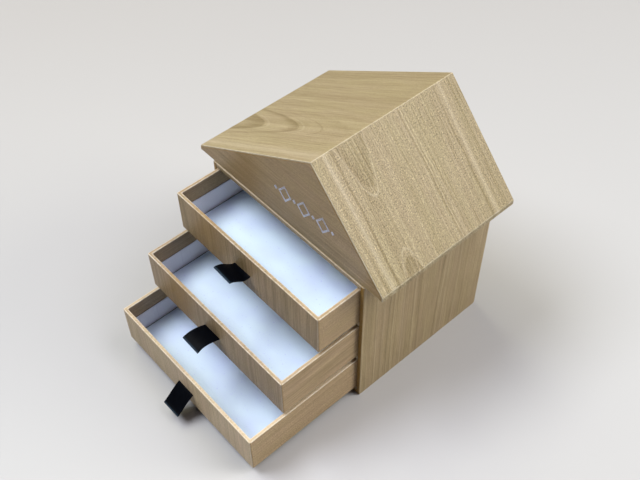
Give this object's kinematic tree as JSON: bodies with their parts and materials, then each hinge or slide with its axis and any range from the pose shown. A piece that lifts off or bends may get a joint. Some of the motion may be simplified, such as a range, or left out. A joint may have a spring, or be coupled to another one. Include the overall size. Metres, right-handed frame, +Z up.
{
  "type": "house-shaped drawer gift box",
  "caption": "Rigid paper-wrapped gift box shaped like a house: an open-fronted casing with shelves, sliding trays with ribbon pulls and a lopsided gable roof.",
  "frame": {"origin": "centre of the casing's underside, on the surface that it stands on", "axes": "+Z up, -Y out of the open front, the way the drawers come out, and +X to the right seen from the front"},
  "size_m": [0.204, 0.261, 0.221],
  "materials": {
    "grey_board": "bare grey board",
    "wood_paper": "printed pale wood grain, satin",
    "white_paper": "smooth white, matt",
    "white_card": "smooth white, matt",
    "satin_ribbon": "black satin weave",
    "silver_foil": "hot-stamped silver foil"
  },
  "bodies": {
    "casing": {"base_paper": "wood_paper", "base_plate": "grey_board", "casing_floor_board": "grey_board", "casing_floor_paper": "wood_paper", "left_wall_board": "grey_board", "right_wall_board": "grey_board", "back_wall_board": "grey_board", "casing_wrap": "wood_paper", "lower_shelf_board": "grey_board", "lower_shelf_paper": "wood_paper", "upper_shelf_board": "grey_board", "upper_shelf_paper": "wood_paper", "casing_top_board": "grey_board", "casing_top_paper": "wood_paper", "roof_floor_board": "grey_board", "roof_underside_paper": "wood_paper", "left_slope_board": "grey_board", "right_slope_board": "grey_board", "front_gable_board": "grey_board", "rear_gable_board": "grey_board", "roof_wrap": "wood_paper", "front_gable_paper": "wood_paper", "rear_gable_paper": "wood_paper"},
    "top_drawer": {"top_drawer_front_board": "grey_board", "top_drawer_back_board": "grey_board", "top_drawer_left_board": "grey_board", "top_drawer_right_board": "grey_board", "top_drawer_floor_board": "grey_board", "top_drawer_wrap": "wood_paper", "top_drawer_liner": "white_paper", "top_drawer_floor_card": "white_card", "top_drawer_pull": "satin_ribbon"},
    "middle_drawer": {"middle_drawer_front_board": "grey_board", "middle_drawer_back_board": "grey_board", "middle_drawer_left_board": "grey_board", "middle_drawer_right_board": "grey_board", "middle_drawer_floor_board": "grey_board", "middle_drawer_wrap": "wood_paper", "middle_drawer_liner": "white_paper", "middle_drawer_floor_card": "white_card", "middle_drawer_pull": "satin_ribbon"},
    "bottom_drawer": {"bottom_drawer_front_board": "grey_board", "bottom_drawer_back_board": "grey_board", "bottom_drawer_left_board": "grey_board", "bottom_drawer_right_board": "grey_board", "bottom_drawer_floor_board": "grey_board", "bottom_drawer_wrap": "wood_paper", "bottom_drawer_liner": "white_paper", "bottom_drawer_floor_card": "white_card", "bottom_drawer_pull": "satin_ribbon"}
  },
  "joints": [
    {"name": "top_drawer_slide", "type": "slide", "parent": "casing", "child": "top_drawer", "axis": [0, -1, 0], "range_m": [-0.039, 0.101]},
    {"name": "middle_drawer_slide", "type": "slide", "parent": "casing", "child": "middle_drawer", "axis": [0, -1, 0], "range_m": [-0.074, 0.066]},
    {"name": "bottom_drawer_slide", "type": "slide", "parent": "casing", "child": "bottom_drawer", "axis": [0, -1, 0], "range_m": [-0.106, 0.034]}
  ]
}
